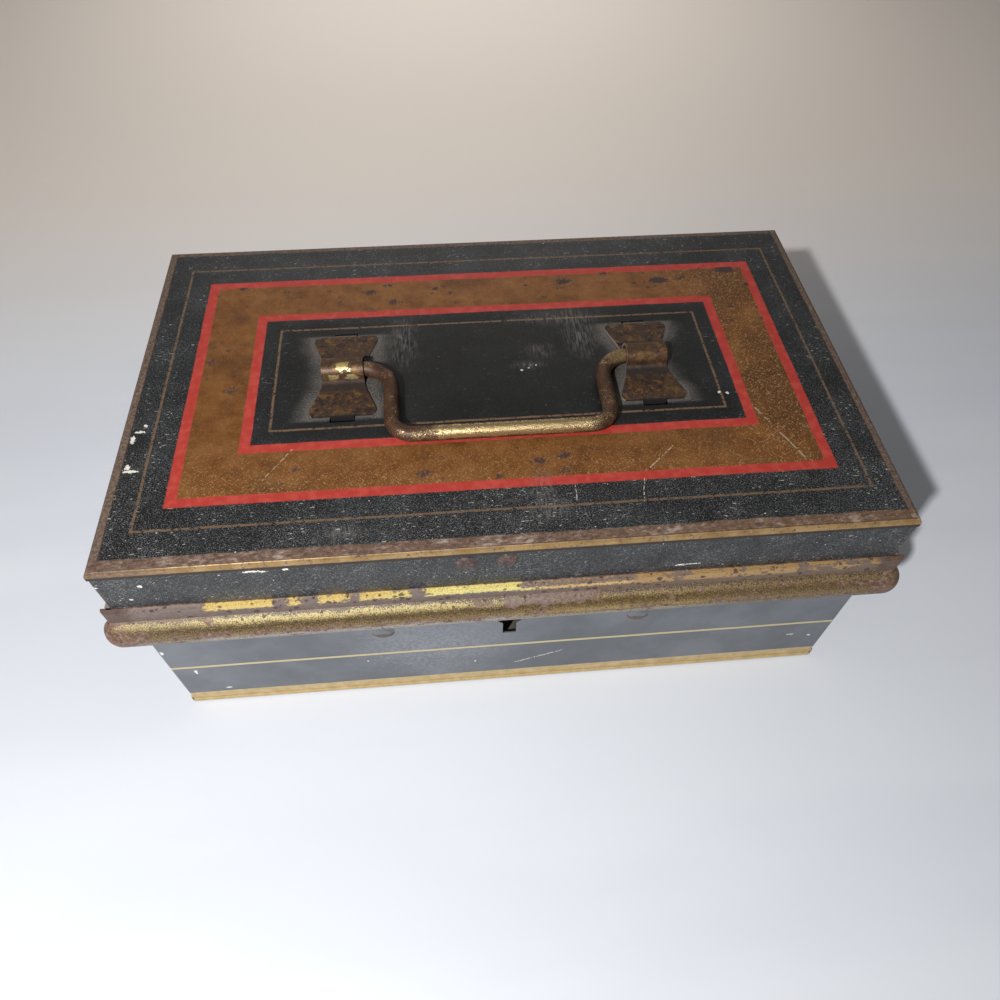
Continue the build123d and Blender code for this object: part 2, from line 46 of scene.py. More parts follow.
# ---- building blocks for materials ----
class Finish:
    """A procedural surface, built up in coats from the metal outwards."""

    def __init__(self, name, colour, metallic, roughness):
        self.material = bpy.data.materials.new(name)
        self.material.use_nodes = True
        self.nodes = self.material.node_tree.nodes
        self.links = self.material.node_tree.links
        self.nodes.clear()
        coordinates = self.nodes.new("ShaderNodeTexCoord")
        self.place = self.vector("MULTIPLY", coordinates.outputs["Object"], (1000, 1000, 1000))
        self.x, self.y, self.z = self.split(self.place)
        self.facing_x, self.facing_y, self.facing_z = self.split(coordinates.outputs["Normal"])
        self.colour = colour
        self.metallic = metallic
        self.roughness = roughness
        self.height = None

    def put(self, socket, value):
        if isinstance(value, bpy.types.NodeSocket):
            self.links.new(value, socket)
        elif value is not None:
            socket.default_value = value

    def split(self, value):
        node = self.nodes.new("ShaderNodeSeparateXYZ")
        self.put(node.inputs[0], value)
        return node.outputs[0], node.outputs[1], node.outputs[2]

    def reckon(self, kind, operation, values):
        node = self.nodes.new(kind)
        node.operation = operation
        for socket, value in zip(node.inputs, values):
            self.put(socket, value)
        return node.outputs[0]

    def vector(self, operation, *values):
        return self.reckon("ShaderNodeVectorMath", operation, values)

    def math(self, operation, *values):
        return self.reckon("ShaderNodeMath", operation, values)

    def chain(self, operation, first, rest):
        for value in rest:
            first = self.math(operation, first, value)
        return first

    def add(self, first, *rest):
        return self.chain("ADD", first, rest)

    def times(self, first, *rest):
        return self.chain("MULTIPLY", first, rest)

    def either(self, first, *rest):
        return self.chain("MAXIMUM", first, rest)

    def magnitude(self, value):
        return self.math("ABSOLUTE", value)

    def opposite(self, mask):
        return self.math("SUBTRACT", 1.0, mask)

    def without(self, mask, other):
        return self.times(mask, self.opposite(other))

    def ease(self, value, start, end):
        """0 up to start, 1 from end on, smooth between; start may be above end."""
        node = self.nodes.new("ShaderNodeMapRange")
        node.interpolation_type = "SMOOTHSTEP"
        low, high = (0.0, 1.0) if start < end else (1.0, 0.0)
        self.put(node.inputs["Value"], value)
        node.inputs["From Min"].default_value = min(start, end)
        node.inputs["From Max"].default_value = max(start, end)
        node.inputs["To Min"].default_value = low
        node.inputs["To Max"].default_value = high
        return node.outputs[0]

    def stripe(self, value, middle, half_width, soft=0.12):
        """1 within half_width of middle."""
        away = self.magnitude(self.math("SUBTRACT", value, middle))
        return self.ease(away, half_width + soft, half_width - soft)

    def noise(self, size, stretch=(1, 1, 1), detail=2.0, grain=0.5, seed=0):
        """Smooth random field around 0.5 with features of that size in millimetres."""
        scale = [1 / (size * s) for s in stretch]
        shift = (seed * 13.7, seed * 7.3, seed * 3.1)
        node = self.nodes.new("ShaderNodeTexNoise")
        self.put(node.inputs["Vector"], self.vector("MULTIPLY_ADD", self.place, scale, shift))
        node.inputs["Scale"].default_value = 1.0
        node.inputs["Detail"].default_value = detail
        node.inputs["Roughness"].default_value = grain
        return node.outputs[0]

    def sway(self, size, **settings):
        """Noise that swings about 0."""
        return self.add(self.noise(size, **settings), -0.5)

    def spots(self, spacing, smallest, largest, seed=0, ragged=0.25, stretch=(1, 1, 1)):
        """Scattered round marks of random radius in millimetres with ragged edges."""
        shift = (seed * 5.9, seed * 11.3, seed * 2.7)
        scale = [1 / (spacing * s) for s in stretch]
        node = self.nodes.new("ShaderNodeTexVoronoi")
        self.put(node.inputs["Vector"], self.vector("MULTIPLY_ADD", self.place, scale, shift))
        node.inputs["Scale"].default_value = 1.0
        chance, second, third = self.split(node.outputs["Color"])
        radius = self.times(self.math("POWER", chance, 3.0), (largest - smallest) / spacing)
        radius = self.add(radius, smallest / spacing)
        edge = self.times(self.sway(spacing * 0.14, seed=seed + 40), ragged)
        distance = self.add(node.outputs["Distance"], edge)
        return self.ease(self.math("SUBTRACT", distance, radius), 0.03, -0.03)

    def dashes(self, length, width, angle, share, seed):
        """Short straight scuffs that lie at an angle in the plan of the lid."""
        turn = self.nodes.new("ShaderNodeVectorRotate")
        turn.rotation_type = "Z_AXIS"
        self.put(turn.inputs["Vector"], self.place)
        turn.inputs["Angle"].default_value = angle
        stretched = self.vector(
            "MULTIPLY_ADD", turn.outputs[0], (1 / length, 1 / width, 1 / width),
            (seed * 3.3, seed * 9.1, seed))
        node = self.nodes.new("ShaderNodeTexNoise")
        self.put(node.inputs["Vector"], stretched)
        node.inputs["Scale"].default_value = 1.0
        node.inputs["Detail"].default_value = 0.0
        return self.ease(node.outputs[0], 0.80 - share, 0.86 - share)

    def distance(self, across, along, middle, reach):
        """How far from a place given by two coordinates, 1 at its half sizes."""
        away = []
        for value, centre, half in zip((across, along), middle, reach):
            away.append(self.math("POWER", self.times(self.add(value, -centre), 1 / half), 2.0))
        return self.math("SQRT", self.add(*away))

    def blot(self, across, along, middle, reach, ragged, size=1.2, seed=0):
        """One mark with ragged edges round a place."""
        distance = self.distance(across, along, middle, reach)
        edge = self.times(self.sway(size, detail=3.0, seed=seed), 2 * ragged)
        return self.ease(self.add(distance, edge), 1.15, 0.75)

    def soft_blot(self, across, along, middle, reach, seed):
        """One cloud that fades from its middle."""
        distance = self.distance(across, along, middle, reach)
        edge = self.times(self.sway(4, detail=4.0, grain=0.65, seed=seed), 1.4)
        return self.ease(self.add(distance, edge), 1.5, 0.1)

    def scratch(self, across, along, start, end, half_width, seed):
        """One straight broken scratch between two places."""
        run = Vector(end) - Vector(start)
        length = run.length
        run.normalize()
        side = Vector((-run.y, run.x))

        def measured(direction):
            return self.add(
                self.times(self.add(across, -start[0]), direction.x),
                self.times(self.add(along, -start[1]), direction.y))

        forth = measured(run)
        off = measured(side)
        off = self.add(off, self.times(self.sway(3.0, detail=2.0, seed=seed), half_width * 3))
        line = self.stripe(off, 0.0, half_width, half_width * 0.6)
        ends = self.stripe(forth, length / 2, length / 2, 0.6)
        broken = self.ease(self.noise(0.9, detail=1.0, seed=seed + 1), 0.40, 0.52)
        return self.times(line, ends, broken)

    def between(self, kind, sockets, values):
        node = self.nodes.new("ShaderNodeMix")
        node.data_type = kind
        for socket, value in zip(sockets, values):
            self.put(node.inputs[socket], value)
        return node.outputs

    def mix(self, mask, under, over):
        """Colour between two colours."""
        return self.between("RGBA", (0, 6, 7), (mask, under, over))[2]

    def fade(self, mask, under, over):
        """Number between two numbers, a plain number where they are the same."""
        if under == over and not isinstance(under, bpy.types.NodeSocket):
            return under
        return self.between("FLOAT", (0, 2, 3), (mask, under, over))[0]

    def tones(self, value, *stops):
        """Colour from a field by stops of (position, colour)."""
        node = self.nodes.new("ShaderNodeValToRGB")
        self.put(node.inputs[0], value)
        elements = node.color_ramp.elements
        elements[0].position, elements[0].color = stops[0]
        elements[1].position, elements[1].color = stops[-1]
        for position, colour in stops[1:-1]:
            elements.new(position).color = colour
        return node.outputs[0]

    def cover(self, mask, colour=None, metallic=None, roughness=None):
        """One more coat where mask is 1."""
        if colour is not None:
            self.colour = self.mix(mask, self.colour, colour)
        if metallic is not None:
            self.metallic = self.fade(mask, self.metallic, metallic)
        if roughness is not None:
            self.roughness = self.fade(mask, self.roughness, roughness)

    def raise_by(self, mask, millimetres):
        """Relief, down where millimetres is negative."""
        step = self.times(mask, millimetres)
        self.height = step if self.height is None else self.add(self.height, step)

    def done(self):
        shader = self.nodes.new("ShaderNodeBsdfPrincipled")
        self.put(shader.inputs["Base Color"], self.colour)
        self.put(shader.inputs["Metallic"], self.metallic)
        self.put(shader.inputs["Roughness"], self.roughness)
        if self.height is not None:
            bump = self.nodes.new("ShaderNodeBump")
            bump.inputs["Distance"].default_value = 0.001
            self.put(bump.inputs["Height"], self.height)
            self.put(shader.inputs["Normal"], bump.outputs[0])
        output = self.nodes.new("ShaderNodeOutputMaterial")
        self.links.new(shader.outputs[0], output.inputs[0])
        return self.material


# ---- colours ----
JAPAN = srgb(13, 14, 15)
JAPAN_PALE = srgb(28, 31, 33)
BODY_JAPAN = srgb(84, 88, 94)
BODY_JAPAN_PALE = srgb(104, 108, 115)
JAPAN_BLACK = srgb(7, 7, 6)
SPECKLE = srgb(105, 106, 110)
SPECKLE_PALE = srgb(148, 149, 153)
SCUFF = srgb(168, 168, 162)
SCRATCH = srgb(200, 188, 168)
CHIP = srgb(222, 220, 212)
HAZE = srgb(128, 122, 117)
RUST_DARK = srgb(58, 40, 34)
RUST = srgb(96, 70, 56)
RUST_MAUVE = srgb(120, 94, 86)
RUST_PALE = srgb(160, 140, 126)
RUST_PURPLE = srgb(66, 46, 50)
RUST_SPOT = srgb(60, 44, 42)
RUST_HALO = srgb(92, 66, 52)
GILT = srgb(108, 88, 48)
GILT_YELLOW = srgb(240, 226, 142)
GILT_ORANGE = srgb(222, 184, 124)
GILT_TAN = srgb(180, 146, 98)
GILT_WARM = srgb(226, 198, 118)
BAND_BROWN = srgb(112, 92, 70)
BAND_SPECKLE = srgb(104, 84, 56)
BEAD_DULL = srgb(98, 79, 56)
BEAD_PIT = srgb(44, 32, 17)
BEAD_DUST = srgb(196, 174, 124)
BRONZE = srgb(124, 80, 40)
BRONZE_DARK = srgb(96, 58, 27)
BRONZE_PALE = srgb(146, 102, 58)
BRONZE_SOOT_AND_SHADE = srgb(80, 54, 32)
GLITTER = srgb(206, 162, 112)
GOLD_SCUFF = srgb(206, 170, 126)
RED = srgb(160, 50, 42)
RED_PALE = srgb(172, 66, 56)
EDGE_BRASSY = srgb(104, 80, 52)
EDGE_PALE = srgb(178, 164, 152)
EDGE_GLINT = srgb(184, 152, 96)
LIP_GOLD = srgb(142, 112, 66)
LIP_GOLD_PALE = srgb(164, 136, 92)
LINING = srgb(112, 90, 70)
LINE_GOLD = srgb(194, 180, 142)
TIN = srgb(168, 165, 158)
TIN_DULL = srgb(120, 112, 98)
STEEL = srgb(110, 104, 98)
BRASS = srgb(214, 190, 142)
BRASS_RUBBED = srgb(224, 204, 142)
CLIP_BRONZE = srgb(120, 88, 56)
FLOOR = srgb(210, 215, 225)
FLOOR_PALE = srgb(214, 219, 228)
FLOOR_FAR_PAINTED_LIGHT = srgb(236, 228, 220)
SKY = srgb(240, 236, 232)

LID_LOW, LID_HIGH = box_mm("lid_top")
WALL_HIGH = box_mm("body_wall")[1]
MOULD_LOW, MOULD_HIGH = box_mm("front_moulding")
CLIP_LOW, CLIP_HIGH = box_mm("right_handle_clip")
BAIL_LOW, BAIL_HIGH = box_mm("handle_bail")


# ---- shared looks ----
def rust_tones(paint, seed=0, size=1.6):
    """Brown to mauve rust with paler crumbs."""
    field = paint.noise(size, detail=5.0, grain=0.65, seed=seed)
    return paint.tones(
        field, (0.30, RUST_DARK), (0.44, RUST), (0.56, RUST_MAUVE), (0.72, RUST_PALE))


def add_japan(paint, deep, pale, speckle, seed=0):
    """Old lacquer between two tones, cloudy and grained, with scuffs and nicks where speckle is 1."""
    cloud = paint.noise(34, detail=4.0, grain=0.6, seed=seed)
    paint.cover(1.0, colour=paint.mix(paint.ease(cloud, 0.35, 0.70), deep, pale), metallic=0.0)
    paint.roughness = paint.add(paint.times(paint.noise(9, detail=3.0, seed=seed + 1), 0.3), 0.3)
    patch = paint.sway(12, detail=3.0, grain=0.6, seed=seed + 3)
    fine = paint.noise(0.36, stretch=(1.5, 1.0, 1.0), detail=2.0, grain=0.6, seed=seed + 2)
    marks = paint.ease(paint.add(fine, paint.times(patch, 0.16)), 0.51, 0.70)
    marks = paint.times(marks, speckle)
    paint.cover(paint.times(marks, 0.62), colour=SPECKLE, roughness=0.6)
    pins = paint.noise(0.30, detail=1.0, seed=seed + 8)
    pins = paint.ease(paint.add(pins, paint.times(patch, 0.14)), 0.62, 0.69)
    paint.cover(paint.times(pins, speckle, 0.55), colour=SPECKLE_PALE, roughness=0.65)
    streak = paint.noise(0.5, stretch=(4.0, 1.2, 0.9), detail=1.0, seed=seed + 5)
    scuffs = paint.ease(paint.add(streak, paint.times(patch, 0.3)), 0.70, 0.77)
    paint.cover(paint.times(scuffs, speckle, 0.8), colour=SCUFF, roughness=0.7)
    few = paint.noise(0.8, stretch=(1.6, 1.0, 1.0), detail=1.0, seed=seed + 6)
    nicks = paint.ease(few, 0.775, 0.80)
    paint.cover(paint.times(nicks, speckle), colour=CHIP, roughness=0.7)
    smudge = paint.noise(5, stretch=(1.4, 1, 1), detail=5.0, grain=0.65, seed=seed + 7)
    smudge = paint.ease(smudge, 0.60, 0.74)
    paint.cover(paint.times(smudge, speckle, 0.16), colour=HAZE, roughness=0.65)
    paint.raise_by(fine, 0.04)


def tin_inside(paint, seed):
    """Bare tinplate, dulled, with rust blooming through: its colour, metallic and roughness."""
    stain = paint.noise(22, detail=5.0, grain=0.62, seed=seed)
    grain = paint.noise(2.2, detail=4.0, grain=0.6, seed=seed + 1)
    colour = paint.mix(paint.ease(stain, 0.38, 0.7), TIN, TIN_DULL)
    bloom = paint.ease(paint.add(stain, paint.times(grain, 0.5)), 0.86, 0.98)
    colour = paint.mix(bloom, colour, rust_tones(paint, seed + 2))
    metallic = paint.math("SUBTRACT", 0.85, paint.times(bloom, 0.85))
    roughness = paint.add(paint.times(grain, 0.25), 0.28)
    return {"colour": colour, "metallic": metallic, "roughness": roughness}


def bare_inside(paint, high, seed):
    """Tinplate on the upright faces that look towards the middle of the box."""
    outward = paint.add(
        paint.times(paint.x, paint.facing_x, 1 / high[0]),
        paint.times(paint.y, paint.facing_y, 1 / high[1]))
    inside = paint.opposite(paint.ease(outward, 0.1, 0.5))
    paint.cover(inside, **tin_inside(paint, seed))


def add_chips(paint, chips, where, ragged, size, seed):
    """Placed white chips on an upright face, where it is 1."""
    for centre, reach in chips:
        chip = paint.blot(paint.x, paint.z, centre, reach, ragged, size, int(centre[0]) + seed)
        paint.cover(paint.times(chip, where), colour=CHIP, roughness=0.75)


# ---- lid ----
# The painted lining: half sizes of the outer thin line, and how far its middle lies behind the lid's.
OUTER_LINE = (116.4, 63.2)
LINING_SHIFT = 0.5
# Middles of the stripes, measured inward from the outer thin line, and their half widths.
THIN_LINES, THIN_HALF = (0.0, 38.1), 0.42
RED_BANDS, RED_HALF = (10.0, 30.5), 1.78
GOLD_MIDDLE, GOLD_HALF = 20.3, 9.0
# How far rust has eaten in from the edges of the lid's top.
FRONT_WEAR, BACK_WEAR, SIDE_WEAR = 4.4, 2.9, 3.0
# Marks in the plan of the lid: scratches (start, end, half width), rust clusters (centre, half
# sizes, raggedness), grey smears and white chips (centre, half sizes).
LID_SCRATCHES = (
    ((88, -25), (99, -50), 0.22), ((45, -51), (56, -41), 0.18),
    ((43.6, -54), (41.8, -63), 0.16), ((21, -55), (20.6, -61), 0.14),
    ((-79, -46), (-70, -33), 0.14))
RUST_CLUSTERS = (
    ((-74, -45), (16, 9), 0.3), ((-6, -44), (40, 8), 0.5),
    ((-96, 12), (8, 22), 0.3), ((96, 26), (10, 14), 0.5))
LID_SMEARS = (
    ((10.5, -54), (3.5, 6)), ((12, -64), (7, 4)), ((12, 1), (6, 2)),
    ((17, 8.5), (5, 4)), ((26, 26.5), (16, 4)), ((33, 16), (6, 12)),
    ((-33, 17), (5, 14)), ((-52, -68), (6, 3)))
LID_CHIPS = (
    ((-121, -21.8), (1.6, 0.5)), ((-123, -25.2), (0.9, 1.5)), ((-119.8, -19), (0.5, 0.7)),
    ((-121.5, -38.8), (2.6, 0.6)), ((-122.4, -37.2), (0.8, 1.1)), ((77.8, -17.6), (0.6, 0.5)),
    ((80.6, -18.2), (0.5, 0.5)), ((9.3, -1.5), (0.5, 0.35)), ((11.8, -0.5), (0.35, 0.3)),
    ((14.7, 0.7), (0.4, 0.35)), ((-9.1, -73.9), (0.7, 0.5)), ((37.8, -75.6), (0.7, 0.5)))
# Tones of the worn edges, as stops of a noise field.
SIDE_EDGE_TONES = stops((0.30, 58, 48, 42), (0.50, 98, 81, 70), (0.72, 128, 110, 97))
FRONT_EDGE_TONES = stops(
    (0.28, 54, 40, 34), (0.46, 92, 72, 61), (0.60, 116, 94, 82),
    (0.75, 148, 128, 112))


def clip_haze(paint):
    """Grey residue that hugs the outline of both clips, and spreads most at their waists."""
    side = paint.math("SUBTRACT", paint.magnitude(paint.x), (CLIP_LOW[0] + CLIP_HIGH[0]) / 2)
    along = paint.magnitude(paint.y)
    half = paint.add(paint.times(paint.ease(along, 5.0, 17.0), 5.5), 7.2)
    beside = paint.math("SUBTRACT", paint.magnitude(side), half)
    away = paint.either(beside, paint.add(along, -CLIP_HIGH[1]))
    waver = paint.sway(6, detail=4.0, grain=0.6, seed=27)
    grain = paint.ease(paint.noise(0.5, detail=3.0, grain=0.75, seed=28), 0.40, 0.66)
    inner = paint.ease(paint.times(side, -1.0), -4.0, 4.0)
    left = paint.ease(paint.x, 20, -20)
    waist = paint.ease(along, 19, 6)
    reach = paint.add(
        away, paint.times(waver, 7.0), paint.times(inner, waist, -2.0), paint.times(left, waist, -1.5))
    beyond = paint.ease(paint.add(along, -CLIP_HIGH[1]), 1.6, 0.2)
    fall = paint.math("POWER", paint.ease(reach, 7.5, -1.5), 1.6)
    broad = paint.times(fall, beyond, paint.add(paint.times(grain, 0.75), 0.12))
    rim = paint.ease(paint.add(away, paint.times(waver, 1.6)), 0.75, 0.15)
    return paint.either(broad, paint.times(rim, paint.add(paint.times(grain, 0.4), 0.3)))


def paint_lining(paint, near_front):
    """Gold, red and thin stripes. Returns where the gold is and the field that wears them."""
    wobble = paint.times(paint.sway(14, detail=3.0, seed=20), 0.5)
    across = paint.math("SUBTRACT", paint.magnitude(paint.x), OUTER_LINE[0])
    along = paint.math(
        "SUBTRACT", paint.magnitude(paint.add(paint.y, -LINING_SHIFT)), OUTER_LINE[1])
    inward = paint.add(paint.times(paint.either(across, along), -1.0), wobble)
    wear = paint.noise(1.1, detail=4.0, grain=0.7, seed=21)
    kept = paint.ease(wear, 0.38, 0.50)
    fringe = paint.times(paint.add(wear, -0.5), 1.2)

    gold = paint.stripe(paint.add(inward, fringe), GOLD_MIDDLE, GOLD_HALF)
    bronze = paint.tones(
        paint.noise(8, detail=6.0, grain=0.72, seed=22),
        (0.28, BRONZE_DARK), (0.5, BRONZE), (0.78, BRONZE_PALE))
    # Bronze darkened in clouds of soot, and more so towards the right, where the darkening is painted
    # shade.
    soot_and_shade = paint.add(
        paint.noise(20, detail=4.0, grain=0.6, seed=24), paint.times(paint.ease(paint.x, 60, 110), 0.22))
    bronze = paint.mix(paint.times(paint.ease(soot_and_shade, 0.50, 0.74), 0.6), bronze, BRONZE_SOOT_AND_SHADE)
    paint.cover(gold, colour=bronze, metallic=0.35, roughness=0.45)
    front_right = paint.either(near_front, paint.ease(paint.x, 60, 90))
    glitter = paint.ease(paint.noise(0.42, detail=1.0, seed=23), 0.58, 0.70)
    paint.cover(paint.times(gold, glitter, paint.add(paint.times(front_right, 0.45), 0.15)),
                colour=GLITTER, metallic=0.4, roughness=0.5)
    for angle, seed in ((0.75, 1), (-0.85, 2)):
        scuffs = paint.times(paint.dashes(2.2, 0.42, angle, 0.08, seed), gold, front_right)
        paint.cover(paint.times(scuffs, 0.5), colour=GOLD_SCUFF, roughness=0.6)

    for middle in RED_BANDS:
        band = paint.stripe(paint.add(inward, paint.times(fringe, 0.35)), middle, RED_HALF, 0.22)
        red = paint.times(band, paint.ease(wear, 0.20, 0.28))
        tone = paint.mix(paint.ease(paint.noise(3, detail=4.0, seed=26), 0.4, 0.7), RED, RED_PALE)
        paint.cover(red, colour=tone, metallic=0.0, roughness=0.5)
    for middle in THIN_LINES:
        thin = paint.times(paint.stripe(inward, middle, THIN_HALF, 0.16), kept)
        paint.cover(thin, colour=LINING, metallic=0.2, roughness=0.5)
    return gold, wear


def rust_through_gold(paint, gold):
    """Purple-brown rust come through the bronze: most along the back, clusters elsewhere."""
    back = paint.ease(paint.y, 30, 42)
    clusters = paint.either(*[
        paint.blot(paint.x, paint.y, centre, reach, ragged) for centre, reach, ragged in RUST_CLUSTERS])
    allowed = paint.times(paint.either(back, clusters), gold)
    big = paint.spots(5.6, 0.4, 2.2, seed=3, ragged=0.7, stretch=(1.7, 1, 1))
    small = paint.spots(3.6, 0.0, 0.8, seed=8, ragged=0.5, stretch=(1.4, 1, 1))
    halo = paint.spots(5.6, 0.9, 2.9, seed=3, ragged=0.7, stretch=(1.7, 1, 1))
    paint.cover(paint.times(halo, allowed, 0.35), colour=RUST_HALO, metallic=0.1)
    paint.cover(paint.either(paint.times(big, allowed), paint.times(small, allowed, 0.8)),
                colour=RUST_SPOT, metallic=0.0, roughness=0.7)


def mark_lid(paint):
    """Placed scratches, smears and chips, then the haze round the clips."""
    for start, end, width in LID_SCRATCHES:
        line = paint.scratch(paint.x, paint.y, start, end, width, seed=int(start[0]) + 200)
        paint.cover(paint.times(line, 0.75), colour=SCRATCH, roughness=0.6)
    for centre, reach in LID_SMEARS:
        smear = paint.soft_blot(paint.x, paint.y, centre, reach, seed=int(centre[0]) + 150)
        wisps = paint.noise(1.0, stretch=(0.7, 5.0, 1.0), detail=4.0, grain=0.7, seed=35)
        wisps = paint.times(smear, paint.ease(wisps, 0.40, 0.70), 0.5)
        paint.cover(wisps, colour=HAZE, roughness=0.7)
    for centre, reach in LID_CHIPS:
        chip = paint.blot(paint.x, paint.y, centre, reach, 1.3, 0.7, seed=int(centre[1]) + 300)
        paint.cover(paint.times(chip, 0.85), colour=CHIP, roughness=0.75)
    haze = paint.times(clip_haze(paint), paint.ease(paint.facing_z, 0.5, 0.9))
    paint.cover(paint.times(haze, 0.8), colour=HAZE, roughness=0.75)


def wear_lid_edges(paint, ragged):
    """Rust where the black has rubbed off, widest along the front. Returns where it is."""
    half_x, half_y = LID_HIGH[0], LID_HIGH[1]
    front_edge = paint.ease(
        paint.add(paint.times(paint.y, -1.0), ragged), half_y - FRONT_WEAR - 0.6, half_y - FRONT_WEAR)
    back_edge = paint.ease(
        paint.add(paint.y, ragged), half_y - BACK_WEAR - 0.5, half_y - BACK_WEAR)
    side_edge = paint.ease(
        paint.add(paint.magnitude(paint.x), paint.times(ragged, 0.6)),
        half_x - SIDE_WEAR - 0.4, half_x - SIDE_WEAR)
    brown_edge = paint.either(back_edge, side_edge)
    brown = paint.tones(paint.noise(1.0, detail=5.0, grain=0.7, seed=36), *SIDE_EDGE_TONES)
    paint.cover(brown_edge, colour=brown, metallic=0.1, roughness=0.6)

    mauve = paint.tones(
        paint.noise(1.1, stretch=(1.6, 1, 1), detail=6.0, grain=0.72, seed=31), *FRONT_EDGE_TONES)
    brassy = paint.times(
        paint.ease(paint.x, 10, 110),
        paint.ease(paint.noise(3, detail=5.0, grain=0.7, seed=39), 0.42, 0.58))
    mauve = paint.mix(paint.times(brassy, 0.5), mauve, EDGE_BRASSY)
    paint.cover(front_edge, colour=mauve, metallic=0.1, roughness=0.55)
    bright = paint.noise(1.3, stretch=(2.4, 1, 1), detail=4.0, grain=0.7, seed=33)
    smudge = paint.noise(5, stretch=(1.8, 1, 1), detail=3.0, seed=38)
    pale = paint.ease(paint.add(paint.times(bright, 0.6), paint.times(smudge, 0.5)), 0.57, 0.72)
    paint.cover(paint.times(pale, front_edge, 0.65), colour=EDGE_PALE, metallic=0.1, roughness=0.5)
    glints = paint.times(
        front_edge, paint.ease(paint.noise(0.8, stretch=(2, 1, 1), detail=3.0, seed=34), 0.58, 0.72),
        paint.ease(paint.x, 0, 40))
    paint.cover(paint.times(glints, 0.5), colour=EDGE_GLINT, metallic=0.6, roughness=0.4)
    return front_edge, brown_edge


def paint_lip(paint, ragged, wear):
    """Dark crease along the rounded edge, a gold stripe on the turned-down lip of the front, and painted
    shade along the lower edge of the lip.
    """
    half_x, half_y = LID_HIGH[0], LID_HIGH[1]
    lip = LID_LOW[2]
    # how far up the lip and over its rounded edge a place lies on the front
    round_edge = paint.add(paint.z, paint.y, -(lip - half_y))
    rough_round = paint.add(round_edge, paint.times(ragged, 0.45))
    crease = paint.either(
        paint.times(paint.stripe(rough_round, 4.35, 0.28, 0.2), paint.ease(paint.facing_y, -0.1, -0.3)),
        paint.times(paint.stripe(paint.magnitude(paint.x), half_x - 3.5, 0.22, 0.2), 0.6))
    paint.cover(paint.times(crease, 0.8), colour=srgb(54, 38, 32), roughness=0.7)

    stripe = paint.stripe(rough_round, 2.75, 1.4, 0.15)
    left_wear = paint.ease(paint.add(paint.x, paint.times(ragged, 12)), -118, -92)
    keep = paint.times(paint.ease(wear, 0.36, 0.48), paint.add(paint.times(left_wear, 0.75), 0.25))
    on_front = paint.ease(paint.facing_y, -0.05, -0.3)
    tone = paint.mix(
        paint.ease(paint.noise(7, detail=4.0, seed=37), 0.35, 0.65), LIP_GOLD, LIP_GOLD_PALE)
    paint.cover(paint.times(stripe, keep, on_front), colour=tone, metallic=0.35, roughness=0.45)
    # Dark along the lower edge of the lip all round: painted shade under the lip.
    lip_edge_shade = paint.ease(paint.add(paint.z, paint.times(ragged, 0.15)), lip + 1.5, lip + 1.1)
    paint.cover(lip_edge_shade, colour=srgb(48, 38, 30), metallic=0.0, roughness=0.65)


def lid_top_material():
    paint = Finish("lid_top_lined_japan", JAPAN, 0.0, 0.4)
    middle = paint.times(
        paint.ease(paint.magnitude(paint.x), 95, 70), paint.ease(paint.magnitude(paint.y), 36, 26))
    near_front = paint.ease(paint.y, -20, -60)
    add_japan(paint, JAPAN, JAPAN_PALE,
              paint.add(paint.times(near_front, 0.35), paint.times(middle, -0.30), 0.65))
    paint.cover(paint.times(middle, 0.6), colour=JAPAN_BLACK)
    gold, wear = paint_lining(paint, near_front)
    rust_through_gold(paint, gold)
    mark_lid(paint)
    ragged = paint.times(
        paint.sway(4, stretch=(2.5, 2.5, 1), detail=5.0, grain=0.65, seed=30), 1.6)
    front_edge, brown_edge = wear_lid_edges(paint, ragged)
    paint_lip(paint, ragged, wear)
    inside = paint.times(
        paint.ease(paint.facing_z, -0.2, -0.6), paint.ease(paint.z, LID_LOW[2] + 1.0, LID_LOW[2] + 1.5))
    paint.cover(inside, **tin_inside(paint, seed=50))
    paint.raise_by(paint.either(front_edge, brown_edge), -0.05)
    dents = paint.times(paint.noise(42, detail=1.0, seed=60), paint.ease(paint.facing_z, 0.5, 0.9))
    paint.raise_by(dents, 0.7)
    return paint.done()


# White chips on the front of the skirt: centre and half sizes across and up.
SKIRT_CHIPS = (
    ((-80, 95.6), (2.4, 0.45)), ((-76.5, 95.2), (1.6, 0.35)), ((-69.7, 95.7), (0.9, 0.5)),
    ((-126.4, 92), (0.5, 0.6)), ((-113.8, 91.4), (0.7, 0.5)), ((-119, 84), (0.6, 0.4)),
    ((53.5, 82.8), (1.4, 0.5)), ((58, 83), (2.4, 0.25)))


def skirt_material():
    paint = Finish("lid_skirt_japan", JAPAN, 0.0, 0.4)
    add_japan(paint, JAPAN, JAPAN_PALE, 0.9, seed=4)
    ragged = paint.times(paint.sway(5, stretch=(2, 2, 1), detail=5.0, grain=0.65, seed=71), 2.0)
    low = paint.ease(paint.add(paint.z, ragged), MOULD_HIGH[2] + 0.6, MOULD_HIGH[2] + 0.1)
    corner = paint.times(
        paint.ease(paint.magnitude(paint.x), LID_HIGH[0] - 2.2, LID_HIGH[0] - 1.4),
        paint.ease(paint.noise(3, detail=5.0, grain=0.7, seed=72), 0.5, 0.6))
    paint.cover(
        paint.either(low, corner), colour=rust_tones(paint, seed=73), metallic=0.1, roughness=0.65)
    on_front = paint.ease(paint.facing_y, -0.5, -0.8)
    add_chips(paint, SKIRT_CHIPS, on_front, 1.7, 0.6, 310)
    bare_inside(paint, LID_HIGH, seed=54)
    paint.raise_by(paint.noise(30, detail=1.0, seed=61), 0.4)
    return paint.done()


# ---- moulding ----
# Heights of the bead with its groove, and of the band above them.
BEAD_HEIGHT = 15.4
BAND_HEIGHT = 5.6
